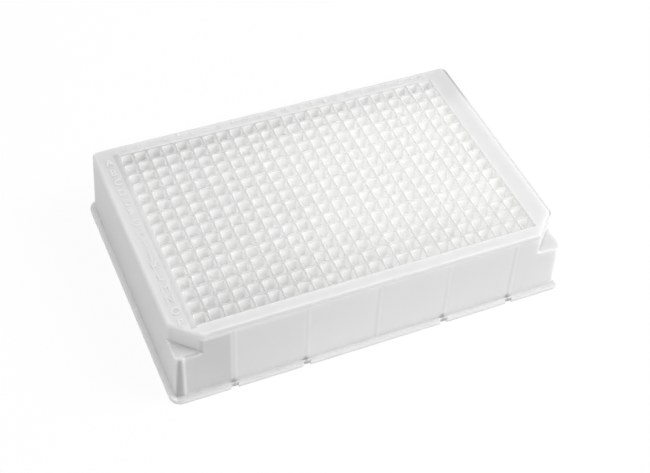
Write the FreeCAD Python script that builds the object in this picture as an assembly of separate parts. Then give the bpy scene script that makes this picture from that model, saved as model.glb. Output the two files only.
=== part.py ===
"""384-well deep-well microplate, moulded in one piece from natural polypropylene.

The plate stands on its footprint in the XY plane. X runs along the long side, the origin is
the middle of the underside, and well A1 is at the back left (-X, +Y). Sizes are in millimetres.
"""
import FreeCAD, Part
import math
import os

from FreeCAD import Vector

# Footprint and height
FOOT_LENGTH = 127.76
FOOT_WIDTH = 85.48
PLATE_HEIGHT = 24.8

# Flange that runs round the foot
FLANGE_HEIGHT = 1.5
FLANGE_WIDTH = 1.5
FLANGE_CORNER_RADIUS = 3.5

# Skirt: the outer wall, which leans in towards the top, and the deck that closes it
SKIRT_LEAN = 0.9
SKIRT_WALL = 1.3
SKIRT_CORNER_RADIUS = 2.0
DECK_THICKNESS = 1.3
DECK_EDGE_CHAMFER = 0.6

# The two near corners are cut off above a small ledge
CORNER_CUT = 8.0
CORNER_CUT_RADIUS = 1.6
LEDGE_HEIGHT = 17.5

# Notches in the flange, at the foot of the outer ribs
NOTCH_WIDTH = 2.2
NOTCH_DEPTH = 0.7

# Recess under the skirt that a plate below stands in
STACK_RECESS = 1.0
STACK_CLEARANCE = 0.25

# Wells, which fill the plate between the strips that its ends and long sides need
PITCH = 4.5
END_STRIP = 9.5
SIDE_STRIP = 6.5
WELL_MOUTH = 3.8
WELL_FOOT = 3.1
WELL_TIP_DEPTH = 2.0
WELL_FLOOR = 1.2
TIP_CLEARANCE = 0.3
BLOCK_WALL = 0.9

# Ribs between the skirt and the block of wells, along both long sides
RIB_THICKNESS = 1.0
RIB_WELL_SPACING = 5
RIB_FOOT_HEIGHT = 3.0

# Numbers of wells and ribs that fit: 24 columns, 16 rows and 2 ribs each side of the middle
COLUMNS = int((FOOT_LENGTH - 2 * END_STRIP) / PITCH)
ROWS = int((FOOT_WIDTH - 2 * SIDE_STRIP) / PITCH)
RIBS_EACH_SIDE = COLUMNS // (2 * RIB_WELL_SPACING)

# Levels and half sizes that follow from the values above
HALF_LENGTH = FOOT_LENGTH / 2
HALF_WIDTH = FOOT_WIDTH / 2
DECK_UNDERSIDE = PLATE_HEIGHT - DECK_THICKNESS
OUTER_TIP_HEIGHT = STACK_RECESS + TIP_CLEARANCE
INNER_TIP_HEIGHT = OUTER_TIP_HEIGHT + WELL_FLOOR
WELL_FOOT_HEIGHT = INNER_TIP_HEIGHT + WELL_TIP_DEPTH
GROOVE_HEIGHT = OUTER_TIP_HEIGHT + WELL_TIP_DEPTH * PITCH / WELL_FOOT
ARRAY_LENGTH = COLUMNS * PITCH
ARRAY_WIDTH = ROWS * PITCH
BLOCK_MARGIN = BLOCK_WALL - (PITCH - WELL_MOUTH) / 2
HALF_BLOCK_LENGTH = ARRAY_LENGTH / 2 + BLOCK_MARGIN
HALF_BLOCK_WIDTH = ARRAY_WIDTH / 2 + BLOCK_MARGIN
RIB_SPACING = RIB_WELL_SPACING * PITCH

# How far a cutting tool runs past the face it cuts
OVERRUN = 1.0


def skirt_inset(height):
    """Distance from the footprint's edge in to the skirt's outer face at a height."""
    return FLANGE_WIDTH + SKIRT_LEAN * height / PLATE_HEIGHT


def rectangle(half_length, half_width, height):
    """Corners of a level rectangle, centred on the Z axis and taken anticlockwise."""
    return [
        Vector(-half_length, -half_width, height),
        Vector(half_length, -half_width, height),
        Vector(half_length, half_width, height),
        Vector(-half_length, half_width, height),
    ]


def polygon_face(corners):
    """Flat face with the given corners."""
    return Part.Face(Part.makePolygon(corners + corners[:1]))


def tapered_solid(lower, upper):
    """Solid between two level rectangles."""
    faces = [polygon_face(lower), polygon_face(upper)]
    for index in range(4):
        after = (index + 1) % 4
        faces.append(polygon_face([lower[index], lower[after], upper[after], upper[index]]))
    return Part.makeSolid(Part.makeShell(faces))


def skirt_solid(inset, bottom, top):
    """Solid with the skirt's lean between two heights, set in from its outer face."""
    levels = []
    for height in (bottom, top):
        edge = skirt_inset(height) + inset
        levels.append(rectangle(HALF_LENGTH - edge, HALF_WIDTH - edge, height))
    return tapered_solid(levels[0], levels[1])


def corner_cutter(side, inset, bottom):
    """Prism that cuts a near corner off; side is -1 at the left corner and 1 at the right."""
    edge = skirt_inset(PLATE_HEIGHT)
    cut = CORNER_CUT + inset * math.sqrt(2)
    corner_x = HALF_LENGTH - edge
    corner_y = -(HALF_WIDTH - edge)
    reach = CORNER_CUT
    triangle = [
        Vector(side * (corner_x - cut - reach), corner_y - reach, bottom),
        Vector(side * (corner_x + reach), corner_y + cut + reach, bottom),
        Vector(side * (corner_x + reach), corner_y - reach, bottom),
    ]
    return polygon_face(triangle).extrude(Vector(0, 0, PLATE_HEIGHT + OVERRUN - bottom))


def is_upright(edge):
    """True for a straight edge that climbs more than it runs sideways."""
    if len(edge.Vertexes) != 2:
        return False
    rise = edge.Vertexes[1].Point - edge.Vertexes[0].Point
    return abs(rise.z) > math.hypot(rise.x, rise.y)


def near_cut(edge):
    """True for the upright edges where a cut corner meets the skirt's sides."""
    return edge.BoundBox.ZMin > LEDGE_HEIGHT - OVERRUN and edge.BoundBox.YMax < 0


def outer_body():
    """The skirt's outer form, with its cut corners, round corners and broken deck edge."""
    body = skirt_solid(0.0, 0.0, PLATE_HEIGHT)
    for side in (-1, 1):
        body = body.cut(corner_cutter(side, 0.0, LEDGE_HEIGHT))
    uprights = [edge for edge in body.Edges if is_upright(edge)]
    full_corners = [edge for edge in uprights if not near_cut(edge)]
    body = body.makeFillet(SKIRT_CORNER_RADIUS, full_corners)
    cut_corners = [edge for edge in body.Edges if is_upright(edge) and near_cut(edge)]
    body = body.makeFillet(CORNER_CUT_RADIUS, cut_corners)
    top_edges = [edge for edge in body.Edges if edge.BoundBox.ZMin > PLATE_HEIGHT - 1e-4]
    return body.makeChamfer(DECK_EDGE_CHAMFER, top_edges)


def flange():
    """Flat ring round the foot, notched on the long sides where the outer ribs stand."""
    plate = Part.makeBox(
        FOOT_LENGTH, FOOT_WIDTH, FLANGE_HEIGHT, Vector(-HALF_LENGTH, -HALF_WIDTH, 0)
    )
    uprights = [edge for edge in plate.Edges if is_upright(edge)]
    plate = plate.makeFillet(FLANGE_CORNER_RADIUS, uprights)
    notches = []
    for step in rib_steps():
        if step == 0:
            continue
        for side in (-1, 1):
            middle = Vector(step * RIB_SPACING, side * HALF_WIDTH, 0)
            corner = middle - Vector(NOTCH_WIDTH / 2, NOTCH_DEPTH, OVERRUN)
            height = FLANGE_HEIGHT + 2 * OVERRUN
            notches.append(Part.makeBox(NOTCH_WIDTH, 2 * NOTCH_DEPTH, height, corner))
    return plate.cut(Part.Compound(notches))


def rib_steps():
    """Rib numbers counted from the middle of a long side."""
    return range(-RIBS_EACH_SIDE, RIBS_EACH_SIDE + 1)


def cavity():
    """The hollow under the deck, as wide as the skirt's inner face, with the stacking recess."""
    hollow = skirt_solid(SKIRT_WALL, -OVERRUN, DECK_UNDERSIDE)
    ledge_underside = LEDGE_HEIGHT - DECK_THICKNESS
    for side in (-1, 1):
        hollow = hollow.cut(corner_cutter(side, SKIRT_WALL, ledge_underside))
    inset = skirt_inset(PLATE_HEIGHT) - STACK_CLEARANCE
    half_length = HALF_LENGTH - inset
    half_width = HALF_WIDTH - inset
    recess = Part.makeBox(
        2 * half_length,
        2 * half_width,
        STACK_RECESS + OVERRUN,
        Vector(-half_length, -half_width, -OVERRUN),
    )
    uprights = [edge for edge in recess.Edges if is_upright(edge)]
    recess = recess.makeFillet(SKIRT_CORNER_RADIUS, uprights)
    return hollow.fuse(recess)


def sawtooth_outline(count, half_block):
    """Section of the block of wells: a flat top and one tooth for each well below."""
    points = [(-half_block, DECK_UNDERSIDE), (-half_block, GROOVE_HEIGHT)]
    start = -count * PITCH / 2
    for index in range(count):
        points.append((start + index * PITCH, GROOVE_HEIGHT))
        points.append((start + (index + 0.5) * PITCH, OUTER_TIP_HEIGHT))
    points.append((-start, GROOVE_HEIGHT))
    points.append((half_block, GROOVE_HEIGHT))
    points.append((half_block, DECK_UNDERSIDE))
    return points


def well_outline(centre):
    """Section of one well: a tapering shaft that ends in a point."""
    return [
        (centre - WELL_MOUTH / 2, PLATE_HEIGHT),
        (centre - WELL_FOOT / 2, WELL_FOOT_HEIGHT),
        (centre, INNER_TIP_HEIGHT),
        (centre + WELL_FOOT / 2, WELL_FOOT_HEIGHT),
        (centre + WELL_MOUTH / 2, PLATE_HEIGHT),
    ]


def prism(outline, axis, half_run):
    """Outline of (across, height) points run along X or Y, the same length to each side."""
    if axis == "X":
        points = [Vector(-half_run, across, height) for across, height in outline]
        run = Vector(2 * half_run, 0, 0)
    else:
        points = [Vector(across, -half_run, height) for across, height in outline]
        run = Vector(0, 2 * half_run, 0)
    return polygon_face(points).extrude(run)


def well_block():
    """Block that holds the wells, with a four-sided point under each of them."""
    along = prism(sawtooth_outline(COLUMNS, HALF_BLOCK_LENGTH), "Y", HALF_BLOCK_WIDTH)
    across = prism(sawtooth_outline(ROWS, HALF_BLOCK_WIDTH), "X", HALF_BLOCK_LENGTH)
    return along.common(across)


def ribs():
    """Upright webs that tie the block of wells to both long walls of the skirt."""
    webs = []
    reach = HALF_WIDTH - skirt_inset(PLATE_HEIGHT) - SKIRT_WALL / 2
    for step in rib_steps():
        for side in (-1, 1):
            start = side * HALF_BLOCK_WIDTH
            corner_y = min(start, side * reach)
            corner = Vector(step * RIB_SPACING - RIB_THICKNESS / 2, corner_y, RIB_FOOT_HEIGHT)
            length = reach - HALF_BLOCK_WIDTH
            height = DECK_UNDERSIDE - RIB_FOOT_HEIGHT
            webs.append(Part.makeBox(RIB_THICKNESS, length, height, corner))
    return webs


def wells():
    """The 384 tapering wells, as one compound of cutting solids."""
    columns = []
    for index in range(COLUMNS):
        centre = (index - (COLUMNS - 1) / 2) * PITCH
        columns.append(prism(well_outline(centre), "Y", HALF_BLOCK_WIDTH))
    rows = []
    for index in range(ROWS):
        centre = (index - (ROWS - 1) / 2) * PITCH
        rows.append(prism(well_outline(centre), "X", HALF_BLOCK_LENGTH))
    return Part.Compound(columns).common(Part.Compound(rows))


def plate():
    """The whole plate, one solid."""
    shell = outer_body().fuse(flange()).removeSplitter()
    shell = shell.cut(cavity())
    solid = shell.fuse([well_block()] + ribs())
    return solid.cut(wells()).removeSplitter()


def main():
    os.makedirs("parts", exist_ok=True)
    shape = plate()
    if len(shape.Solids) == 1:
        shape = shape.Solids[0]
    shape.exportStep("parts/plate.step")
    box = shape.BoundBox
    print("plate: solids", len(shape.Solids), "faces", len(shape.Faces), "valid", shape.isValid())
    print("size %.3f x %.3f x %.3f" % (box.XLength, box.YLength, box.ZLength))
    print("volume %.1f mm3" % shape.Volume)


main()
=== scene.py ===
"""Deep-well microplate with 384 wells, moulded in one piece from natural polypropylene.

Lengths are in metres. X runs along the plate's long side, Z is up, the origin is the middle of
the underside, and well A1 is at the back left.
"""
import math
import string

import bpy
from bpy.props import FloatProperty, FloatVectorProperty, IntProperty, PointerProperty
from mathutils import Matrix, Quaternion, Vector


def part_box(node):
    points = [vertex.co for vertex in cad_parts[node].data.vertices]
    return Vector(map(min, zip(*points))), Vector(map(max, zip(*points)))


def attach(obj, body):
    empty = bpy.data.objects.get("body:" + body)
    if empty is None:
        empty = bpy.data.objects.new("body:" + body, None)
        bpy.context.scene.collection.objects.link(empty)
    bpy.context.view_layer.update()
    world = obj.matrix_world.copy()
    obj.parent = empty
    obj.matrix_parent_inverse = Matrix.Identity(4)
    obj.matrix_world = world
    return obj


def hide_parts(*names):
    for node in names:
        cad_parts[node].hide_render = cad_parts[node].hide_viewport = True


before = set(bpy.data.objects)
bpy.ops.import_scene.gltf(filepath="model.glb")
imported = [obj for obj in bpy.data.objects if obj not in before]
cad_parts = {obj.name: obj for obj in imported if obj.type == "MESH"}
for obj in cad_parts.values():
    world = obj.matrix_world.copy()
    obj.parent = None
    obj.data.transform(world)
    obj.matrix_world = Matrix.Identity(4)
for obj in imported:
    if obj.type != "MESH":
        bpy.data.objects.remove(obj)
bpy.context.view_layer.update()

bl_info = {
    "name": "Deep-well microplate",
    "version": (1, 0, 0),
    "blender": (4, 5, 0),
    "location": "View3D > Sidebar > Microplate",
    "description": "Adds a 384-well plate of milky moulded plastic, its markings and a pale stage",
    "category": "Add Mesh",
}

MM = 0.001
PLATE_NODE = "plate"
BODY = "root"

PLATE_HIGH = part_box(PLATE_NODE)[1]
TOP = PLATE_HIGH.z
HALF_LENGTH = PLATE_HIGH.x
HALF_WIDTH = PLATE_HIGH.y

# How far a cutting tool runs past what it cuts, and how deep joined forms reach into each other
OVERRUN = 1.0 * MM
OVERLAP = 0.5 * MM

# Points closer than this count as one
SAME_PLACE = 0.002 * MM

# Steps in each kind of rounding
CORNER_STEPS = 8
CUT_STEPS = 5
DECK_EDGE_STEPS = 4
FLANGE_EDGE_STEPS = 2
INNER_STEPS = 3
WELL_STEPS = 2
LETTER_STEPS = 3

# Turn of the cut corners, and the side of the tool that cuts them, in lengths of the cut
CUT_TURN = math.radians(45)
CUTTER_SIDE = 4

# Angle between two faces from which an edge beside a cut is rounded, and up to which one is smoothed
SHARP_ANGLE = math.radians(30)
SMOOTH_ANGLE = math.radians(35)

# Least upward part of a face's normal, for a level face and for the deck's rounded edge
LEVEL = 0.9
DECK_EDGE_LEVEL = 0.3

# Height of a capital letter as a share of the font's size
CAPITAL_SHARE = 0.7

# Size of the slow changes in the plastic's tone, and how far its roughness changes
FLOW_SIZE = 14.0 * MM
POLISH_CHANGE = 0.12
PLASTIC_IOR = 1.49
NOISE_ROUGHNESS = 0.55
NOISE_MIDDLE = 0.5

# Reach of the skirt's rib lines, in from the footprint's edge and down from the top, and their fade
RIB_LINE_REACH = 6.0 * MM
RIB_LINE_TOP = 2.2 * MM
FADE = 1.0 * MM

# Soft patches of painted shade: two corners and the width of the soft edge, in millimetres
FIRST_COLUMN_LINE = ((-55.4, -36.6, 22.0), (-54.2, 36.6, 26.0), 0.4)
NEAR_LEFT_BAY = ((-58.5, -43.0, 2.5), (-46.0, -40.0, 22.0), 1.0)
NEAR_SECOND_BAY = ((-44.0, -43.0, 2.5), (-23.5, -40.0, 22.0), 1.0)
LEFT_WALL = ((-64.0, -41.0, 1.6), (-60.5, 42.0, 23.0), 0.5)
NEAR_LEFT_EDGE = ((-61.6, -42.0, 2.2), (-60.2, -40.6, 17.0), 0.9)
NEAR_LEFT_LEDGE = ((-62.0, -42.0, 17.3), (-55.0, -34.0, 17.9), 0.2)
RIGHT_EDGE = ((60.7, -43.0, 24.0), (64.0, 43.0, 26.0), 0.6)
RIGHT_LEDGE = ((54.4, -43.0, 17.4), (64.0, -33.0, 17.7), 0.15)
NEAR_FLANGE = ((-62.0, -43.0, 0.0), (62.0, -40.0, 1.7), 0.5)
NEAR_FLANGE_TOP = ((-62.0, -42.6, 1.35), (62.0, -40.0, 1.7), 0.15)
LEFT_FLANGE_TOP = ((-64.0, -41.0, 1.35), (-61.5, 42.0, 1.7), 0.15)
BACK_LEFT_DECK = ((-64.0, 30.0, 22.0), (-57.0, 43.0, 26.0), 14.0)
BACK_RIGHT_DECK = ((60.0, 30.0, 22.0), (64.0, 43.0, 26.0), 14.0)

# Depths below the top where the painted shade on the rounded edge, which damps its highlight,
# begins, is full, and has gone
ROUNDING_SHADE = (0.0, 0.1 * MM, 0.45 * MM, 1.2 * MM)

# Where the painted shade on the rounded edge fades out towards the left
LEFT_ROUNDING = (-58.0 * MM, -50.0 * MM)

# Height up to which painted shade darkens the foot at a notch, and how far from the middle the
# notches begin
NOTCH_SHADE_TOP = (3.0 * MM, 2.0 * MM)
FIRST_NOTCH = (8.0 * MM, 12.0 * MM)

# Where painted shade begins on the milky plastic and where it is darkest
LEFT_FALL = (20.0 * MM, -54.0 * MM)
FRONT_FALL = (-14.0 * MM, -37.0 * MM)
BACK_FALL = (20.0 * MM, 40.0 * MM)
LAST_ROW_FALL = (18.0 * MM, 38.0 * MM)

# Depths below the top, in well lips, where the web's painted shade begins and is full
WEB_DEPTHS = (2.5, 0.5)

# How much of their painted shade fall the web and the wells have at the left, in front and in the
# last rows
WEB_FALLS = (1.1, 1.0, 1.25)
WELL_FALLS = (0.8, 0.5, 0.65)

# Floor and lamp, in metres
FLOOR_SIZE = 6.0
FLOOR_COLOR = (0.95, 0.95, 0.95, 1.0)
FLOOR_WHITE = 0.92
WHITE = (1.0, 1.0, 1.0, 1.0)
LAMP_PLACE = (0.55, -0.25, 0.65)
LAMP_AIM = (0.02, 0.0, 0.01)
LAMP_SIZE = 0.5


def length(name, description, millimetres):
    """A length property, given in millimetres."""
    return FloatProperty(
        name=name,
        description=description,
        default=millimetres * MM,
        min=0.0,
        precision=5,
        unit="LENGTH",
    )


def share(name, description, default):
    """A property between 0 and 1."""
    return FloatProperty(
        name=name, description=description, default=default, min=0.0, max=1.0, subtype="FACTOR"
    )


def darkening(part, default):
    """A property that says how much darker a part is than the plain plastic."""
    return share(part.capitalize(), "How much darker the " + part + " is", default)


def angle(name, description, degrees):
    """An angle property, given in degrees."""
    return FloatProperty(
        name=name, description=description, default=math.radians(degrees), subtype="ANGLE"
    )


class PlateSizes(bpy.types.PropertyGroup):
    """Sizes of the plate's moulding."""

    flange_height: length("Flange height", "Thickness of the flange round the foot", 1.5)
    flange_width: length("Flange width", "How far the flange stands out from the skirt", 1.5)
    flange_radius: length("Flange corners", "Corner radius of the flange", 3.5)
    flange_edge: length("Flange edge", "Rounding of the flange's upper edge", 0.3)
    skirt_lean: length("Skirt lean", "How far the skirt leans in over its height", 0.9)
    skirt_wall: length("Skirt wall", "Thickness of the skirt", 1.3)
    skirt_radius: length("Skirt corners", "Radius of the skirt's upright corners", 2.0)
    inner_radius: length("Inner corners", "Radius of the hollow's upright corners", 0.7)
    deck_thickness: length("Deck thickness", "Thickness of the deck that carries the wells", 1.3)
    deck_edge: length("Deck edge", "Rounding of the deck's edge", 0.8)
    corner_cut: length("Corner cut", "Length cut off each side of the near corners", 8.0)
    corner_cut_radius: length("Cut radius", "Rounding beside the cut corners", 1.6)
    ledge_height: length("Ledge height", "Height of the ledges under the cut corners", 17.5)
    notch_width: length("Notch width", "Width of the notches in the flange", 2.2)
    notch_depth: length("Notch depth", "Depth of the notches in the flange", 0.7)
    stack_recess: length("Stacking recess", "Depth of the recess that a lower plate enters", 1.0)
    stack_clearance: length("Stacking clearance", "Play of a lower plate in the recess", 0.25)
    pitch: length("Well pitch", "Distance between the middles of two wells", 4.5)
    well_mouth: length("Well mouth", "Width of a well at the top", 3.8)
    well_foot: length("Well foot", "Width of a well above its pointed bottom", 3.1)
    well_radius: length("Well corners", "Radius of a well's upright corners", 0.55)
    well_lip: length("Well lip", "Rounding of a well's mouth", 0.16)
    well_tip_depth: length("Tip depth", "Depth of a well's pointed bottom", 2.0)
    well_tip_width: length("Tip width", "Width of the flat at a well's lowest point", 0.5)
    well_floor: length("Well floor", "Plastic under a well's lowest point", 1.2)
    tip_clearance: length("Tip clearance", "Room between the tips and a lower plate", 0.3)
    block_wall: length("Block wall", "Thickness of the wall round the wells", 0.9)
    rib_thickness: length("Rib thickness", "Thickness of the ribs inside the skirt", 1.0)
    rib_foot: length("Rib foot", "Height at which the ribs begin", 3.0)
    columns: IntProperty(name="Columns", description="Wells along the plate", default=24)
    rows: IntProperty(name="Rows", description="Wells across the plate", default=16)
    rib_wells: IntProperty(name="Wells per rib", description="Wells from rib to rib", default=5)


class PlateFinish(bpy.types.PropertyGroup):
    """Colour, painted shade and surface of the moulded plastic."""

    plastic: FloatVectorProperty(
        name="Plastic",
        description="Colour of the natural polypropylene",
        subtype="COLOR",
        default=(0.999, 0.999, 0.996),
        min=0.0,
        max=1.0,
    )
    light_depth: length("Light depth", "How far light goes before the plastic scatters it", 4.0)
    well_light_depth: length("Well light depth", "How far light goes in the wells' thin walls", 1.0)
    skirt_roughness: share("Skirt roughness", "Roughness of the eroded outer faces", 0.42)
    deck_roughness: share("Deck roughness", "Roughness of the deck", 0.34)
    well_roughness: share("Well roughness", "Roughness of the wells", 0.6)
    well_shine: share("Well shine", "Strength of the wells' reflections, 0.5 for plain plastic", 0.3)
    tone_change: share("Tone change", "How much the milky tone changes over the plate", 0.03)
    # The falls and shades from here down to the left flange are painted shade, set in the plastic's
    # colour
    web_fall: share("Web fall", "How much darker the web gets towards the sides", 0.08)
    well_fall: share("Well fall", "How much darker the wells get towards the sides", 0.03)
    deck_fall: share("Deck fall", "How much darker the deck is at the left end", 0.03)
    web_shade: darkening("thin web between the wells", 0.25)
    skirt_shade: darkening("skirt", 0.085)
    rib_shade: darkening("skirt over a rib", 0.1)
    notch_shade: darkening("foot at a notch", 0.3)
    bay_shade: darkening("first bay of the near wall", 0.25)
    second_bay_shade: darkening("second bay of the near wall", 0.075)
    left_wall_shade: darkening("left wall", 0.08)
    edge_shade: darkening("near left edge", 0.38)
    ledge_shade: darkening("left ledge", 0.1)
    right_edge_shade: darkening("deck's right edge", 0.25)
    right_ledge_shade: darkening("right ledge", 0.28)
    deck_shade: darkening("deck", 0.07)
    rounding_shade: darkening("deck's rounded edge", 0.3)
    line_shade: darkening("deck beside the first column", 0.2)
    back_shade: darkening("deck along the back", 0.05)
    back_left_shade: darkening("deck at the back left", 0.09)
    back_right_shade: darkening("deck at the back right", 0.2)
    flange_shade: darkening("flange", 0.1)
    near_flange_shade: darkening("near flange", 0.12)
    flange_top_shade: darkening("near flange on top", 0.12)
    left_flange_shade: darkening("left flange on top", 0.06)
    marking_shade: darkening("raised marking", 0.1)
    # Painted highlight: a lighter line beside each rib's painted shade
    rib_gleam: share("Rib gleam", "How much lighter the skirt is to the right of a rib", 0.08)
    gleam_shift: length("Gleam shift", "How far the light line lies from the dark one", 1.1)
    grain_size: length("Grain size", "Size of the eroded mould's grain", 0.22)
    grain_depth: length("Grain depth", "Depth of the grain", 0.006)
    wave_size: length("Wave size", "Length of the shrinkage waves", 9.0)
    wave_depth: length("Wave depth", "Depth of the shrinkage waves", 0.02)
    sink_depth: length("Sink depth", "Depth of the sink marks over the ribs", 0.05)
    sink_width: length("Sink width", "Half width of the sink marks over the ribs", 0.75)
    notch_reach: length("Notch reach", "Half width of the dark spots at the notches", 1.7)
    letter_inset: length("Letter inset", "Distance of the letters from the deck's edge", 3.9)
    letter_height: length("Letter height", "Height of the row letters", 2.6)
    number_height: length("Number height", "Height of the column numbers", 1.8)
    marking_relief: length("Marking relief", "How far the markings stand up", 0.12)


class StageSettings(bpy.types.PropertyGroup):
    """Camera and light."""

    azimuth: angle("Azimuth", "Turn of the camera round the plate", -26.44)
    elevation: angle("Elevation", "Camera's angle above the table", 46.94)
    roll: angle("Roll", "Tilt of the picture", 4.33)
    distance: length("Distance", "Distance from the camera to its target", 411.96)
    lens: FloatProperty(name="Lens", description="Focal length in millimetres", default=70.95)
    target_x: length("Target X", "Where the camera looks, along the plate", 2.87)
    target_y: length("Target Y", "Where the camera looks, across the plate", 3.0)
    room_light: FloatProperty(
        name="Room light", description="Strength of the even light from all round", default=0.638
    )
    key_light: FloatProperty(
        name="Key light", description="Power of the lamp at the right", default=4.6, unit="POWER"
    )
    bounces: IntProperty(
        name="Bounces", description="How often light may turn inside the plastic", default=44
    )
    shiny_bounces: IntProperty(
        name="Shiny bounces", description="How often light may glance off the surface", default=6
    )


def deselect_all():
    bpy.ops.object.select_all(action="DESELECT")


def activate(piece):
    """Makes a piece the only selected one, and the active one."""
    deselect_all()
    piece.select_set(True)
    bpy.context.view_layer.objects.active = piece


def edit(piece):
    activate(piece)
    bpy.ops.object.mode_set(mode="EDIT")


def leave_edit():
    bpy.ops.object.mode_set(mode="OBJECT")


def pick(kind, test):
    """Selects the vertices, edges or faces of the mesh in edit mode that pass a test."""
    bpy.ops.mesh.select_mode(type=kind)
    bpy.ops.mesh.select_all(action="DESELECT")
    leave_edit()
    mesh = bpy.context.object.data
    items = {"VERT": mesh.vertices, "EDGE": mesh.edges, "FACE": mesh.polygons}[kind]
    for item in items:
        item.select = test(mesh, item)
    bpy.ops.object.mode_set(mode="EDIT")


def ends(mesh, edge):
    """The two end points of an edge."""
    return [mesh.vertices[index].co for index in edge.vertices]


def is_upright(mesh, edge):
    """True for an edge that climbs more than it runs sideways."""
    start, end = ends(mesh, edge)
    rise = end - start
    return abs(rise.z) > rise.xy.length


def at_height(mesh, edge, height):
    """True for an edge that lies at a height."""
    return all(abs(point.z - height) < SAME_PLACE for point in ends(mesh, edge))


def round_edges(piece, test, offset, steps):
    """Rounds the edges of a piece that pass a test."""
    edit(piece)
    pick("EDGE", test)
    bpy.ops.mesh.bevel(
        offset=offset, offset_type="OFFSET", segments=steps, affect="EDGES", clamp_overlap=False
    )
    leave_edit()


def add_block(name, low, high, turn=0.0):
    """Box between two corners, turned about its own upright axis."""
    deselect_all()
    low, high = Vector(low), Vector(high)
    bpy.ops.mesh.primitive_cube_add(
        size=1.0, location=(low + high) / 2, rotation=(0.0, 0.0, turn), scale=high - low
    )
    bpy.ops.object.transform_apply()
    block = bpy.context.object
    block.name = name
    return block


def add_slab(name, half_length, half_width, bottom, top):
    """Box that lies centred over the origin."""
    return add_block(name, (-half_length, -half_width, bottom), (half_length, half_width, top))


def combine(piece, tool, operation):
    """Unites a piece with a tool or cuts the tool from it, and removes the tool."""
    step = piece.modifiers.new(operation, "BOOLEAN")
    step.operation = operation
    step.solver = "EXACT"
    step.object = tool
    activate(piece)
    bpy.ops.object.modifier_apply(modifier=step.name)
    bpy.data.objects.remove(tool, do_unlink=True)


def join(piece, others):
    """Joins other meshes into a piece's mesh."""
    activate(piece)
    for other in others:
        other.select_set(True)
    bpy.ops.object.join()


def skirt_inset(sizes, height):
    """Distance from the footprint's edge in to the skirt's outer face at a height."""
    return sizes.flange_width + sizes.skirt_lean * height / TOP


def add_skirt_block(sizes, name, inset, bottom, top):
    """Block with the skirt's lean between two heights, set in from the skirt's outer face."""
    foot = skirt_inset(sizes, bottom) + inset
    head = skirt_inset(sizes, top) + inset
    half_length = HALF_LENGTH - foot
    half_width = HALF_WIDTH - foot
    block = add_slab(name, half_length, half_width, bottom, top)
    edit(block)
    pick("VERT", lambda mesh, vertex: abs(vertex.co.z - top) < SAME_PLACE)
    shrink = ((HALF_LENGTH - head) / half_length, (HALF_WIDTH - head) / half_width, 1.0)
    bpy.ops.transform.resize(value=shrink, center_override=(0.0, 0.0, top))
    leave_edit()
    return block


def cut_near_corners(sizes, piece, inset, bottom):
    """Cuts both near corners off a piece above a height."""
    corner = skirt_inset(sizes, TOP)
    side_length = CUTTER_SIDE * sizes.corner_cut
    for side in (-1, 1):
        outward = Vector((side, -1.0, 0.0)).normalized()
        depth = sizes.corner_cut / math.sqrt(2) + inset
        middle = Vector((side * (HALF_LENGTH - corner), -(HALF_WIDTH - corner), 0.0))
        middle += outward * (side_length / 2 - depth)
        half = Vector((side_length / 2, side_length / 2, 0.0))
        low = middle - half + Vector((0.0, 0.0, bottom))
        high = middle + half + Vector((0.0, 0.0, TOP + OVERRUN))
        combine(piece, add_block("corner_cutter", low, high, CUT_TURN), "DIFFERENCE")


def near_cut(sizes, mesh, edge):
    """True for the edges beside a cut corner."""
    lowest = min(point.z for point in ends(mesh, edge))
    return lowest > sizes.ledge_height - SAME_PLACE and ends(mesh, edge)[0].y < 0


def is_sharp(mesh, edge):
    """True where two faces meet at a wide angle between their normals."""
    normals = [face.normal for face in mesh.polygons if edge.key in face.edge_keys]
    return len(normals) == 2 and normals[0].angle(normals[1]) > SHARP_ANGLE


def add_skirt(sizes):
    """Outer form of the skirt and deck, with its cut and rounded corners."""
    skirt = add_skirt_block(sizes, "plate_mesh", 0.0, OVERLAP, TOP)
    cut_near_corners(sizes, skirt, 0.0, sizes.ledge_height)

    def is_plain(mesh, edge):
        return is_upright(mesh, edge) and not near_cut(sizes, mesh, edge)

    def is_cut(mesh, edge):
        return is_upright(mesh, edge) and near_cut(sizes, mesh, edge) and is_sharp(mesh, edge)

    def is_on_top(mesh, edge):
        return at_height(mesh, edge, TOP)

    round_edges(skirt, is_plain, sizes.skirt_radius, CORNER_STEPS)
    round_edges(skirt, is_cut, sizes.corner_cut_radius * math.tan(CUT_TURN / 2), CUT_STEPS)
    round_edges(skirt, is_on_top, sizes.deck_edge, DECK_EDGE_STEPS)
    return skirt


def rib_places(sizes):
    """Places of the ribs along a long side."""
    spacing = sizes.rib_wells * sizes.pitch
    each_side = sizes.columns // (2 * sizes.rib_wells)
    return [step * spacing for step in range(-each_side, each_side + 1)]


def add_flange(sizes):
    """Flat flange round the foot, notched where the outer ribs stand."""
    top = sizes.flange_height
    flange = add_slab("flange", HALF_LENGTH, HALF_WIDTH, 0.0, top)
    round_edges(flange, is_upright, sizes.flange_radius, CORNER_STEPS)
    for place in rib_places(sizes):
        if abs(place) < SAME_PLACE:
            continue
        for side in (-1, 1):
            half = Vector((sizes.notch_width / 2, sizes.notch_depth, 0.0))
            middle = Vector((place, side * HALF_WIDTH, 0.0))
            low = middle - half - Vector((0.0, 0.0, OVERRUN))
            high = middle + half + Vector((0.0, 0.0, top + OVERRUN))
            combine(flange, add_block("notch", low, high), "DIFFERENCE")

    def is_on_top(mesh, edge):
        return at_height(mesh, edge, top)

    round_edges(flange, is_on_top, sizes.flange_edge, FLANGE_EDGE_STEPS)
    return flange


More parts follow.
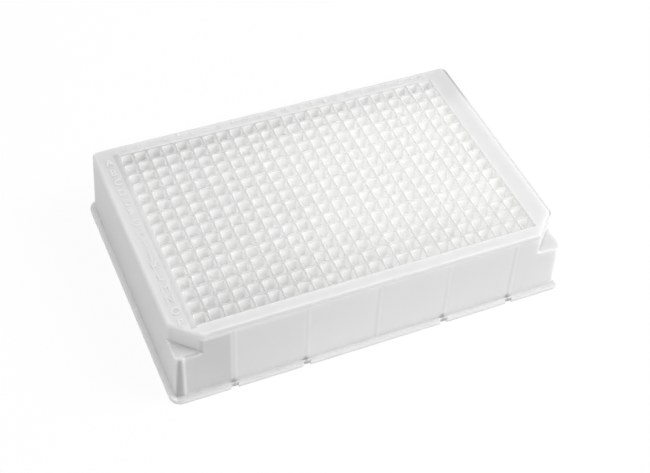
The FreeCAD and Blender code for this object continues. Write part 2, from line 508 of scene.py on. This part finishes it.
def hollow_out(sizes, plate):
    """Cuts the hollow under the deck and the stacking recess below it."""
    deck_underside = TOP - sizes.deck_thickness
    hollow = add_skirt_block(sizes, "hollow", sizes.skirt_wall, -OVERRUN, deck_underside)
    round_edges(hollow, is_upright, sizes.inner_radius, INNER_STEPS)
    cut_near_corners(sizes, hollow, sizes.skirt_wall, sizes.ledge_height - sizes.deck_thickness)
    combine(plate, hollow, "DIFFERENCE")
    inset = skirt_inset(sizes, TOP) - sizes.stack_clearance
    half_length = HALF_LENGTH - inset
    recess = add_slab("recess", half_length, HALF_WIDTH - inset, -OVERRUN, sizes.stack_recess)
    round_edges(recess, is_upright, sizes.skirt_radius, CORNER_STEPS)
    combine(plate, recess, "DIFFERENCE")


def half_field(sizes):
    """Half length and half width of the field of wells."""
    return sizes.columns * sizes.pitch / 2, sizes.rows * sizes.pitch / 2


def tip_height(sizes):
    """Height of the lowest points under the wells."""
    return sizes.stack_recess + sizes.tip_clearance


def groove_height(sizes):
    """Height of the grooves between the points under the wells."""
    return tip_height(sizes) + sizes.well_tip_depth * sizes.pitch / sizes.well_foot


def add_block_of_wells(sizes):
    """Solid block that the wells are set into, with the ribs that tie it to the skirt."""
    margin = sizes.block_wall - (sizes.pitch - sizes.well_mouth) / 2
    half_length, half_width = (half + margin for half in half_field(sizes))
    head = TOP - sizes.deck_thickness + OVERLAP
    block = add_slab("block", half_length, half_width, groove_height(sizes), head)
    reach = HALF_WIDTH - skirt_inset(sizes, TOP) - sizes.skirt_wall / 2
    ribs = []
    for place in rib_places(sizes):
        for side in (-1, 1):
            start = side * (half_width - OVERLAP)
            low = (place - sizes.rib_thickness / 2, min(start, side * reach), sizes.rib_foot)
            high = (place + sizes.rib_thickness / 2, max(start, side * reach), head - OVERLAP / 2)
            ribs.append(add_block("rib", low, high))
    join(ribs[0], ribs[1:])
    combine(block, ribs[0], "UNION")
    return block


def first_well_place(sizes):
    """Middle of well A1, at the back left."""
    x = -(sizes.columns - 1) * sizes.pitch / 2
    y = (sizes.rows - 1) * sizes.pitch / 2
    return Vector((x, y, 0.0))


def repeat(piece, sizes):
    """Repeats the first well's form for all columns and rows, and merges what meets."""
    runs = (
        ("columns", sizes.columns, (sizes.pitch, 0.0, 0.0)),
        ("rows", sizes.rows, (0.0, -sizes.pitch, 0.0)),
    )
    activate(piece)
    for name, count, offset in runs:
        step = piece.modifiers.new(name, "ARRAY")
        step.count = count
        step.use_relative_offset = False
        step.use_constant_offset = True
        step.constant_offset_displace = offset
        step.use_merge_vertices = True
        step.merge_threshold = SAME_PLACE
        bpy.ops.object.modifier_apply(modifier=name)


def faces_up(mesh, face):
    return face.normal.z > LEVEL


def faces_down(mesh, face):
    return face.normal.z < -LEVEL


def widen(place, factor):
    """Scales what is selected level, about a well's axis."""
    middle = (place.x, place.y, TOP)
    bpy.ops.transform.resize(value=(factor, factor, 1.0), center_override=middle)


def add_wells(sizes):
    """The inner faces of all wells, with the deck's web between them."""
    place = first_well_place(sizes)
    foot = tip_height(sizes) + sizes.well_floor + sizes.well_tip_depth
    half = sizes.well_mouth / 2
    wall_top = TOP - sizes.well_lip
    low = place + Vector((-half, -half, foot))
    high = place + Vector((half, half, wall_top))
    well = add_block("wells", low, high)
    edit(well)
    pick("VERT", lambda mesh, vertex: vertex.co.z < (foot + TOP) / 2)
    widen(place, sizes.well_foot / sizes.well_mouth)
    leave_edit()
    round_edges(well, is_upright, sizes.well_radius, WELL_STEPS)

    edit(well)
    pick("FACE", faces_down)
    bpy.ops.mesh.extrude_region_move(
        TRANSFORM_OT_translate={"value": (0.0, 0.0, -sizes.well_tip_depth)}
    )
    widen(place, sizes.well_tip_width / sizes.well_foot)

    pick("FACE", faces_up)
    bpy.ops.mesh.extrude_region_move(TRANSFORM_OT_translate={"value": (0.0, 0.0, sizes.well_lip)})
    lip = half + sizes.well_lip
    widen(place, lip / half)
    bpy.ops.mesh.extrude_region_move()
    widen(place, sizes.pitch / 2 / lip)
    leave_edit()

    # The rim's corners are drawn out until neighbouring rims meet as squares
    rim = next(face for face in well.data.polygons if faces_up(well.data, face))
    offsets = {index: well.data.vertices[index].co - place for index in rim.vertices}
    corners = {
        index: offset
        for index, offset in offsets.items()
        if abs(abs(offset.x) - abs(offset.y)) < SAME_PLACE
    }
    edit(well)
    pick("VERT", lambda mesh, vertex: vertex.index in corners)
    widen(place, sizes.pitch / 2 / max(offset.x for offset in corners.values()))
    pick("FACE", faces_up)
    bpy.ops.mesh.delete(type="ONLY_FACE")
    leave_edit()
    repeat(well, sizes)
    return well


def add_tips(sizes):
    """The pointed underside of the block, one four-sided point for each well."""
    place = first_well_place(sizes)
    groove = groove_height(sizes)
    deselect_all()
    bpy.ops.mesh.primitive_plane_add(size=sizes.pitch, location=(place.x, place.y, groove))
    bpy.ops.object.transform_apply()
    tips = bpy.context.object
    tips.name = "tips"
    edit(tips)
    bpy.ops.mesh.select_all(action="SELECT")
    bpy.ops.mesh.inset(thickness=(sizes.pitch - sizes.well_tip_width) / 2)
    bpy.ops.transform.translate(value=(0.0, 0.0, tip_height(sizes) - groove))
    leave_edit()
    repeat(tips, sizes)
    return tips


def set_in(plate, relief, is_turned_so, height):
    """Replaces a flat face of the plate by a relief, and fills the ring that is left round it."""

    def is_old(mesh, face):
        return is_turned_so(mesh, face) and abs(face.center.z - height) < SAME_PLACE

    edit(plate)
    pick("FACE", is_old)
    bpy.ops.mesh.delete(type="FACE")
    leave_edit()
    join(plate, [relief])
    edit(plate)
    bpy.ops.mesh.select_mode(type="EDGE")
    bpy.ops.mesh.select_all(action="DESELECT")
    bpy.ops.mesh.select_non_manifold(
        extend=False, use_wire=False, use_multi_face=False, use_non_contiguous=False, use_verts=False
    )
    bpy.ops.mesh.fill(use_beauty=True)
    leave_edit()


def finish_mesh(piece):
    """Merges doubles, turns all faces outwards, and smooths the rounded forms."""
    edit(piece)
    bpy.ops.mesh.select_mode(type="VERT")
    bpy.ops.mesh.select_all(action="SELECT")
    bpy.ops.mesh.remove_doubles(threshold=SAME_PLACE)
    bpy.ops.mesh.normals_make_consistent(inside=False)
    bpy.ops.mesh.select_all(action="DESELECT")
    bpy.ops.mesh.select_non_manifold(extend=False)
    leave_edit()
    if any(vertex.select for vertex in piece.data.vertices):
        raise RuntimeError(piece.name + " isn't a closed mesh")
    activate(piece)
    bpy.ops.object.shade_smooth_by_angle(angle=SMOOTH_ANGLE)
    weighting = piece.modifiers.new("flat_faces", "WEIGHTED_NORMAL")
    weighting.keep_sharp = True
    bpy.ops.object.modifier_apply(modifier=weighting.name)


def wear(piece, *materials):
    """Gives a piece its materials."""
    piece.data.materials.clear()
    for material in materials:
        piece.data.materials.append(material)


def dress_plate(plate, sizes, finish):
    """Gives the skirt, the deck, the wells and the flange their plastics."""
    wear(
        plate,
        skirt_plastic(sizes, finish),
        deck_plastic(finish),
        well_plastic(sizes, finish),
        flange_plastic(sizes, finish),
    )
    half_length, half_width = half_field(sizes)

    def is_deck(mesh, face):
        return face.center.z > TOP - sizes.deck_edge and face.normal.z > DECK_EDGE_LEVEL

    def is_well(mesh, face):
        x, y = abs(face.center.x), abs(face.center.y)
        return x < half_length and y < half_width and face.normal.z > 0

    def is_flange(mesh, face):
        if face.center.z > sizes.flange_height + SAME_PLACE or faces_down(mesh, face):
            return False
        off_x = HALF_LENGTH - abs(face.center.x)
        off_y = HALF_WIDTH - abs(face.center.y)
        return faces_up(mesh, face) or min(off_x, off_y) < sizes.flange_width / 2

    edit(plate)
    for slot, test in ((1, is_deck), (2, is_well), (3, is_flange)):
        pick("FACE", test)
        plate.active_material_index = slot
        bpy.ops.object.material_slot_assign()
    leave_edit()


class MICROPLATE_OT_plate(bpy.types.Operator):
    """Add the plate: skirt, flange, deck, ribs and the block of wells, as one closed mesh"""

    bl_idname = "microplate.add_plate"
    bl_label = "Add plate"
    bl_options = {"REGISTER", "UNDO"}

    def execute(self, context):
        sizes = context.scene.plate_sizes
        plate = add_skirt(sizes)
        combine(plate, add_flange(sizes), "UNION")
        hollow_out(sizes, plate)
        combine(plate, add_block_of_wells(sizes), "UNION")
        set_in(plate, add_wells(sizes), faces_up, TOP)
        set_in(plate, add_tips(sizes), faces_down, groove_height(sizes))
        finish_mesh(plate)
        plate.name = "moulded_plate"
        dress_plate(plate, sizes, context.scene.plate_finish)
        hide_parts(PLATE_NODE)
        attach(plate, BODY)
        return {"FINISHED"}


def add_marking(text, x, y, height, relief):
    """Raised letter or number on the deck, as a mesh that is sunk a little into it."""
    sunk = OVERLAP / 2
    deselect_all()
    bpy.ops.object.text_add(location=(x, y, TOP + (relief - sunk) / 2))
    marking = bpy.context.object
    marking.data.body = text
    marking.data.size = height / CAPITAL_SHARE
    marking.data.align_x = "CENTER"
    marking.data.align_y = "CENTER"
    marking.data.extrude = (relief + sunk) / 2
    marking.data.resolution_u = LETTER_STEPS
    bpy.ops.object.convert(target="MESH")
    marking = bpy.context.object
    activate(marking)
    bpy.ops.object.transform_apply()
    return marking


class MICROPLATE_OT_markings(bpy.types.Operator):
    """Add the raised row letters along the left end and the column numbers along the back"""

    bl_idname = "microplate.add_markings"
    bl_label = "Add markings"
    bl_options = {"REGISTER", "UNDO"}

    def execute(self, context):
        sizes = context.scene.plate_sizes
        finish = context.scene.plate_finish
        first = first_well_place(sizes)
        edge = skirt_inset(sizes, TOP)
        relief = finish.marking_relief
        letter_x = -(HALF_LENGTH - edge) + finish.letter_inset
        number_y = (HALF_WIDTH - edge + first.y + sizes.pitch / 2) / 2
        letters = []
        for row in range(sizes.rows):
            letter = string.ascii_uppercase[row]
            y = first.y - row * sizes.pitch
            letters.append(add_marking(letter, letter_x, y, finish.letter_height, relief))
        numbers = []
        for column in range(sizes.columns):
            number = str(column + 1)
            x = first.x + column * sizes.pitch
            numbers.append(add_marking(number, x, number_y, finish.number_height, relief))
        plastic = marking_plastic(finish)
        for name, markings in (("row_letters", letters), ("column_numbers", numbers)):
            piece = markings[0]
            join(piece, markings[1:])
            finish_mesh(piece)
            piece.name = name
            wear(piece, plastic)
            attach(piece, BODY)
        return {"FINISHED"}


def add_node(tree, kind, settings=None, inputs=None):
    """Adds a node, sets its properties, and sets or links its inputs."""
    node = tree.nodes.new(kind)
    for name, value in (settings or {}).items():
        setattr(node, name, value)
    for socket, value in (inputs or {}).items():
        if isinstance(value, bpy.types.NodeSocket):
            tree.links.new(value, node.inputs[socket])
        else:
            node.inputs[socket].default_value = value
    return node


def maths(tree, operation, first, second=0.0):
    """Result of a Math node."""
    node = add_node(tree, "ShaderNodeMath", {"operation": operation}, {0: first, 1: second})
    return node.outputs["Value"]


def vector_maths(tree, operation, first, second=(0.0, 0.0, 0.0)):
    """Result of a Vector Math node."""
    node = add_node(tree, "ShaderNodeVectorMath", {"operation": operation}, {0: first, 1: second})
    return node.outputs["Vector"]


def ramp(tree, value, start, end, low=0.0, high=1.0):
    """Smooth step from a low to a high value between two places."""
    inputs = {"Value": value, "From Min": start, "From Max": end, "To Min": low, "To Max": high}
    node = add_node(tree, "ShaderNodeMapRange", {"interpolation_type": "SMOOTHSTEP"}, inputs)
    return node.outputs["Result"]


def add_up(tree, amounts):
    """Sum of values, each times its amount."""
    total = 0.0
    for value, amount in amounts:
        total = maths(tree, "ADD", total, maths(tree, "MULTIPLY", value, amount))
    return total


def object_place(tree):
    """Object coordinates."""
    return add_node(tree, "ShaderNodeTexCoord").outputs["Object"]


def axes(tree, vector):
    """The numbers X, Y and Z of a vector."""
    return add_node(tree, "ShaderNodeSeparateXYZ", inputs={"Vector": vector}).outputs


def noise(tree, scale, detail):
    """Noise with features of about 1 / scale."""
    place = object_place(tree)
    inputs = {"Vector": place, "Scale": scale, "Detail": detail, "Roughness": NOISE_ROUGHNESS}
    return add_node(tree, "ShaderNodeTexNoise", inputs=inputs).outputs["Fac"]


def floats(*names):
    """Kinds of sockets that all carry plain numbers."""
    return {name: "Float" for name in names}


def start_group(name, inputs, outputs):
    """Node group with its sockets, or None and the group where it has been built before."""
    if name in bpy.data.node_groups:
        return None, bpy.data.node_groups[name]
    group = bpy.data.node_groups.new(name, "ShaderNodeTree")
    for direction, sockets in (("INPUT", inputs), ("OUTPUT", outputs)):
        for socket, kind in sockets.items():
            group.interface.new_socket(socket, in_out=direction, socket_type="NodeSocket" + kind)
    return group.nodes.new("NodeGroupInput").outputs, group


def end_group(group, results):
    """Links a group's results to its output."""
    add_node(group, "NodeGroupOutput", inputs=results)
    return group


def grain_group():
    """Grain of the eroded mould and slow shrinkage waves, as a height and a roughness change."""
    sockets = floats("Grain Size", "Grain Depth", "Wave Size", "Wave Depth")
    given, group = start_group("moulded_grain", sockets, floats("Height", "Polish"))
    if given is None:
        return group
    grain = noise(group, maths(group, "DIVIDE", 1.0, given["Grain Size"]), detail=2.0)
    wave = noise(group, maths(group, "DIVIDE", 1.0, given["Wave Size"]), detail=1.0)
    height = add_up(group, [(grain, given["Grain Depth"]), (wave, given["Wave Depth"])])
    polish = maths(group, "SUBTRACT", wave, NOISE_MIDDLE)
    return end_group(group, {"Height": height, "Polish": polish})


def tone_and_shade_group():
    """Milky colour that changes slowly, as where the melt flowed, darkened by painted shade."""
    sockets = {"Plastic": "Color", **floats("Change", "Shade")}
    given, group = start_group("flow_tone_and_painted_shade", sockets, {"Color": "Color"})
    if given is None:
        return group
    flow = noise(group, 1 / FLOW_SIZE, detail=3.0)
    flow = maths(group, "SUBTRACT", flow, NOISE_MIDDLE)
    # The flow's random tone plus the painted shade
    dark = add_up(group, [(flow, given["Change"]), (given["Shade"], 1.0)])
    kept = maths(group, "SUBTRACT", 1.0, maths(group, "MAXIMUM", dark, 0.0))
    inputs = {0: given["Plastic"], "Scale": kept}
    tone = add_node(group, "ShaderNodeVectorMath", {"operation": "SCALE"}, inputs)
    return end_group(group, {"Color": tone.outputs["Vector"]})


def patch_group():
    """Mask of a box with soft edges."""
    sockets = {"Middle": "Vector", "Reach": "Vector", "Softness": "Float"}
    given, group = start_group("soft_patch", sockets, floats("Mask"))
    if given is None:
        return group
    away = vector_maths(group, "SUBTRACT", object_place(group), given["Middle"])
    away = vector_maths(group, "ABSOLUTE", away)
    away = vector_maths(group, "SUBTRACT", away, given["Reach"])
    distances = axes(group, away)
    furthest = maths(group, "MAXIMUM", distances["X"], distances["Y"])
    furthest = maths(group, "MAXIMUM", furthest, distances["Z"])
    return end_group(group, {"Mask": ramp(group, furthest, 0.0, given["Softness"], 1.0, 0.0)})


def rib_group():
    """Mask of the upright lines where ribs meet the long walls from inside."""
    sockets = floats("Spacing", "Half Width", "Last", "Shift")
    given, group = start_group("rib_lines", sockets, floats("Mask"))
    if given is None:
        return group
    place = axes(group, object_place(group))
    half = maths(group, "DIVIDE", given["Spacing"], 2.0)
    distance = maths(group, "PINGPONG", maths(group, "SUBTRACT", place["X"], given["Shift"]), half)
    line = ramp(group, distance, 0.0, given["Half Width"], 1.0, 0.0)
    wall = HALF_WIDTH - RIB_LINE_REACH
    on_wall = ramp(group, maths(group, "ABSOLUTE", place["Y"]), wall, wall + FADE)
    rib_top = TOP - RIB_LINE_TOP
    below_deck = ramp(group, place["Z"], rib_top, rib_top + FADE, 1.0, 0.0)
    from_middle = maths(group, "ABSOLUTE", place["X"])
    last = given["Last"]
    inside = ramp(group, from_middle, last, maths(group, "ADD", last, FADE), 1.0, 0.0)
    for mask in (on_wall, below_deck, inside):
        line = maths(group, "MULTIPLY", line, mask)
    return end_group(group, {"Mask": line})


def place_group(tree, group, inputs):
    """Puts a node group into a material, and returns its outputs."""
    return add_node(tree, "ShaderNodeGroup", {"node_tree": group}, inputs).outputs


def patch(tree, box):
    """Mask of a soft patch."""
    *corners, softness = box
    low, high = (Vector(corner) * MM for corner in corners)
    inputs = {"Middle": (low + high) / 2, "Reach": (high - low) / 2, "Softness": softness * MM}
    return place_group(tree, patch_group(), inputs)["Mask"]


def start_plastic(name, light_depth):
    """Material of milky polypropylene, with its node tree and shader."""
    material = bpy.data.materials.new(name)
    material.use_nodes = True
    tree = material.node_tree
    shader = tree.nodes["Principled BSDF"]
    shader.inputs["IOR"].default_value = PLASTIC_IOR
    shader.inputs["Subsurface Weight"].default_value = 1.0
    shader.inputs["Subsurface Radius"].default_value = (1.0, 1.0, 1.0)
    shader.inputs["Subsurface Scale"].default_value = light_depth
    return material, tree, shader


def dress(tree, shader, finish, roughness, shade, sinks=None):
    """Gives a plastic its tone and painted shade, grain, polish and sink marks."""
    inputs = {"Plastic": (*finish.plastic, 1.0), "Change": finish.tone_change, "Shade": shade}
    tone = place_group(tree, tone_and_shade_group(), inputs)
    tree.links.new(tone["Color"], shader.inputs["Base Color"])
    inputs = {
        "Grain Size": finish.grain_size,
        "Grain Depth": finish.grain_depth,
        "Wave Size": finish.wave_size,
        "Wave Depth": finish.wave_depth,
    }
    grain = place_group(tree, grain_group(), inputs)
    polish = maths(tree, "MULTIPLY", grain["Polish"], POLISH_CHANGE)
    tree.links.new(maths(tree, "ADD", polish, roughness), shader.inputs["Roughness"])
    height = grain["Height"]
    if sinks is not None:
        height = maths(tree, "SUBTRACT", height, maths(tree, "MULTIPLY", sinks, finish.sink_depth))
    bump = add_node(tree, "ShaderNodeBump", inputs={"Distance": 1.0, "Height": height})
    tree.links.new(bump.outputs["Normal"], shader.inputs["Normal"])


def rib_mask(tree, sizes, half_width, shift=0.0):
    """Mask of soft lines over the ribs of the long walls, or beside them by a shift."""
    inputs = {
        "Spacing": sizes.rib_wells * sizes.pitch,
        "Half Width": half_width,
        "Last": max(rib_places(sizes)) + sizes.pitch / 2,
        "Shift": shift,
    }
    return place_group(tree, rib_group(), inputs)["Mask"]


def rounding_mask(tree):
    """Mask of the deck's rounded edge, where painted shade damps its highlight."""
    place = axes(tree, object_place(tree))
    start, full, end, gone = ROUNDING_SHADE
    upper = ramp(tree, place["Z"], TOP - start, TOP - full)
    lower = ramp(tree, place["Z"], TOP - gone, TOP - end)
    off_left = ramp(tree, place["X"], *LEFT_ROUNDING)
    return maths(tree, "MULTIPLY", off_left, maths(tree, "MULTIPLY", upper, lower))


def notch_mask(tree, sizes, finish):
    """Mask of the foot round the notches, where shade is painted."""
    place = axes(tree, object_place(tree))
    low = ramp(tree, place["Z"], *NOTCH_SHADE_TOP)
    outer = ramp(tree, maths(tree, "ABSOLUTE", place["X"]), *FIRST_NOTCH)
    lines = rib_mask(tree, sizes, finish.notch_reach)
    return maths(tree, "MULTIPLY", lines, maths(tree, "MULTIPLY", low, outer))


def skirt_plastic(sizes, finish):
    """Plastic of the skirt and the underside, with painted shade over the ribs and a painted
    highlight beside them on real sink marks, and patches of painted shade.
    """
    material, tree, shader = start_plastic("skirt_plastic", finish.light_depth)
    ribs = rib_mask(tree, sizes, finish.sink_width)
    # Each entry is painted shade, except the rib gleam, which is a painted highlight
    shades = [
        (1.0, finish.skirt_shade),
        (ribs, finish.rib_shade),
        (rib_mask(tree, sizes, finish.sink_width, finish.gleam_shift), -finish.rib_gleam),
        (notch_mask(tree, sizes, finish), finish.notch_shade),
        (patch(tree, NEAR_LEFT_BAY), finish.bay_shade),
        (patch(tree, NEAR_SECOND_BAY), finish.second_bay_shade),
        (patch(tree, LEFT_WALL), finish.left_wall_shade),
        (rounding_mask(tree), finish.rounding_shade),
        (patch(tree, RIGHT_EDGE), finish.right_edge_shade),
        (patch(tree, RIGHT_LEDGE), finish.right_ledge_shade),
        (patch(tree, NEAR_LEFT_EDGE), finish.edge_shade),
        (patch(tree, NEAR_LEFT_LEDGE), finish.ledge_shade),
    ]
    dress(tree, shader, finish, finish.skirt_roughness, add_up(tree, shades), ribs)
    return material


def flange_plastic(sizes, finish):
    """Plastic of the flange, with painted shade round the notches, on the near side and on the left
    top.
    """
    material, tree, shader = start_plastic("flange_plastic", finish.well_light_depth)
    # Each entry is painted shade
    shades = [
        (1.0, finish.flange_shade),
        (patch(tree, NEAR_FLANGE), finish.near_flange_shade),
        (patch(tree, NEAR_FLANGE_TOP), finish.flange_top_shade),
        (patch(tree, LEFT_FLANGE_TOP), finish.left_flange_shade),
        (notch_mask(tree, sizes, finish), finish.notch_shade),
    ]
    dress(tree, shader, finish, finish.skirt_roughness, add_up(tree, shades))
    return material


def deck_plastic(finish):
    """Plastic of the deck round the wells, with painted shade at the left, the back, by the first
    column and on the rounded edge.
    """
    material, tree, shader = start_plastic("deck_plastic", finish.light_depth)
    place = axes(tree, object_place(tree))
    # Each entry is painted shade
    shades = [
        (1.0, finish.deck_shade),
        (ramp(tree, place["X"], *LEFT_FALL), finish.deck_fall),
        (ramp(tree, place["Y"], *BACK_FALL), finish.back_shade),
        (patch(tree, BACK_LEFT_DECK), finish.back_left_shade),
        (patch(tree, BACK_RIGHT_DECK), finish.back_right_shade),
        (patch(tree, FIRST_COLUMN_LINE), finish.line_shade),
        (rounding_mask(tree), finish.rounding_shade),
        (patch(tree, RIGHT_EDGE), finish.right_edge_shade),
    ]
    dress(tree, shader, finish, finish.deck_roughness, add_up(tree, shades))
    return material


def well_plastic(sizes, finish):
    """Plastic of the wells and the thin web between them, with painted shade on the web and towards
    three of the sides.
    """
    material, tree, shader = start_plastic("well_plastic", finish.well_light_depth)
    shader.inputs["Specular IOR Level"].default_value = finish.well_shine
    place = axes(tree, object_place(tree))
    web = ramp(tree, place["Z"], *(TOP - depth * sizes.well_lip for depth in WEB_DEPTHS))
    inside = maths(tree, "SUBTRACT", 1.0, web)
    left = ramp(tree, place["X"], *LEFT_FALL)
    front = ramp(tree, place["Y"], *FRONT_FALL)
    back = ramp(tree, place["Y"], *LAST_ROW_FALL)
    web_fall = add_up(tree, zip((left, front, back), WEB_FALLS))
    well_fall = add_up(tree, zip((left, front, back), WELL_FALLS))
    # Each entry is painted shade
    shades = [
        (web, finish.web_shade),
        (maths(tree, "MULTIPLY", web, web_fall), finish.web_fall),
        (maths(tree, "MULTIPLY", inside, well_fall), finish.well_fall),
    ]
    dress(tree, shader, finish, finish.well_roughness, add_up(tree, shades))
    return material


def marking_plastic(finish):
    """Plastic of the raised letters and numbers, too thin to let light wander."""
    material, tree, shader = start_plastic("marking_plastic", finish.light_depth)
    shader.inputs["Subsurface Weight"].default_value = 0.0
    dress(tree, shader, finish, finish.deck_roughness, finish.marking_shade)
    return material


class MICROPLATE_OT_stage(bpy.types.Operator):
    """Add the pale floor, the lamp, the room's light and the camera"""

    bl_idname = "microplate.add_stage"
    bl_label = "Add stage"
    bl_options = {"REGISTER", "UNDO"}

    def execute(self, context):
        stage = context.scene.stage_settings
        context.scene.view_settings.view_transform = "Standard"
        let_light_wander(context.scene.cycles, stage)
        add_floor()
        add_room_light(stage)
        add_key_lamp(stage)
        add_camera(stage)
        return {"FINISHED"}


def let_light_wander(cycles, stage):
    """Lets light pass through many thin walls, with none of it lost on the way."""
    cycles.max_bounces = stage.bounces
    cycles.diffuse_bounces = stage.bounces
    cycles.glossy_bounces = stage.shiny_bounces
    cycles.transmission_bounces = stage.shiny_bounces
    cycles.blur_glossy = 0.0


def mix_in_white(tree, lit, kind, amount):
    """Shows a lit shader, and in its place an amount of white to the camera and in reflections."""
    path = add_node(tree, "ShaderNodeLightPath").outputs
    seen = path["Is Camera Ray"]
    for ray in ("Is Glossy Ray", "Is Transmission Ray"):
        seen = maths(tree, "MAXIMUM", seen, path[ray])
    white = add_node(tree, kind, inputs={"Color": WHITE, "Strength": 1.0})
    inputs = {"Fac": maths(tree, "MULTIPLY", seen, amount), 1: lit, 2: white.outputs[0]}
    return add_node(tree, "ShaderNodeMixShader", inputs=inputs).outputs["Shader"]


def add_floor():
    """Large pale floor that keeps a soft trace of the plate's shadow."""
    deselect_all()
    bpy.ops.mesh.primitive_plane_add(size=FLOOR_SIZE, location=(0.0, 0.0, 0.0))
    floor = bpy.context.object
    floor.name = "floor"
    material = bpy.data.materials.new("white_floor")
    material.use_nodes = True
    tree = material.node_tree
    tree.nodes.clear()
    lit = add_node(tree, "ShaderNodeBsdfDiffuse", inputs={"Color": FLOOR_COLOR}).outputs["BSDF"]
    surface = mix_in_white(tree, lit, "ShaderNodeEmission", FLOOR_WHITE)
    add_node(tree, "ShaderNodeOutputMaterial", inputs={"Surface": surface})
    wear(floor, material)


def add_room_light(stage):
    """Even light from all round, seen as white."""
    world = bpy.data.worlds.new("room")
    bpy.context.scene.world = world
    world.use_nodes = True
    tree = world.node_tree
    lighting = tree.nodes["Background"]
    lighting.inputs["Color"].default_value = WHITE
    lighting.inputs["Strength"].default_value = stage.room_light
    surface = mix_in_white(tree, lighting.outputs[0], "ShaderNodeBackground", 1.0)
    tree.links.new(surface, tree.nodes["World Output"].inputs["Surface"])


def add_key_lamp(stage):
    """Square area lamp at the right, pointed at the plate."""
    deselect_all()
    bpy.ops.object.light_add(type="AREA", location=LAMP_PLACE)
    lamp = bpy.context.object
    lamp.name = "key_lamp"
    lamp.data.size = LAMP_SIZE
    lamp.data.energy = stage.key_light
    lamp.rotation_mode = "QUATERNION"
    lamp.rotation_quaternion = (Vector(LAMP_AIM) - Vector(LAMP_PLACE)).to_track_quat("-Z", "Y")


def add_camera(stage):
    """Camera at the photograph's viewing angle."""
    level = math.cos(stage.elevation)
    back = Vector((math.sin(stage.azimuth) * level, -math.cos(stage.azimuth) * level, 0.0))
    back.z = math.sin(stage.elevation)
    target = Vector((stage.target_x, stage.target_y, 0.0))
    deselect_all()
    bpy.ops.object.camera_add(location=target + back * stage.distance)
    camera = bpy.context.object
    camera.name = "photo_camera"
    camera.rotation_mode = "QUATERNION"
    tilt = Quaternion((0.0, 0.0, 1.0), stage.roll)
    camera.rotation_quaternion = (-back).to_track_quat("-Z", "Y") @ tilt
    camera.data.lens = stage.lens
    camera.data.sensor_width = 36.0
    bpy.context.scene.camera = camera


class MICROPLATE_PT_panel(bpy.types.Panel):
    """Buttons and settings of the microplate"""

    bl_label = "Microplate"
    bl_idname = "MICROPLATE_PT_panel"
    bl_space_type = "VIEW_3D"
    bl_region_type = "UI"
    bl_category = "Microplate"

    def draw(self, context):
        for operator in OPERATORS:
            self.layout.operator(operator.bl_idname)
        for settings in SETTINGS:
            column = self.layout.column()
            group = getattr(context.scene, settings)
            for name in group.__annotations__:
                column.prop(group, name)


OPERATORS = (MICROPLATE_OT_plate, MICROPLATE_OT_markings, MICROPLATE_OT_stage)
SETTINGS = {
    "plate_sizes": PlateSizes,
    "plate_finish": PlateFinish,
    "stage_settings": StageSettings,
}
CLASSES = (*SETTINGS.values(), *OPERATORS, MICROPLATE_PT_panel)


def register():
    for kind in CLASSES:
        bpy.utils.register_class(kind)
    for name, group in SETTINGS.items():
        setattr(bpy.types.Scene, name, PointerProperty(type=group))


def unregister():
    for name in SETTINGS:
        delattr(bpy.types.Scene, name)
    for kind in reversed(CLASSES):
        bpy.utils.unregister_class(kind)


def main():
    register()
    bpy.ops.microplate.add_plate()
    bpy.ops.microplate.add_markings()
    bpy.ops.microplate.add_stage()


if __name__ == "__main__":
    main()
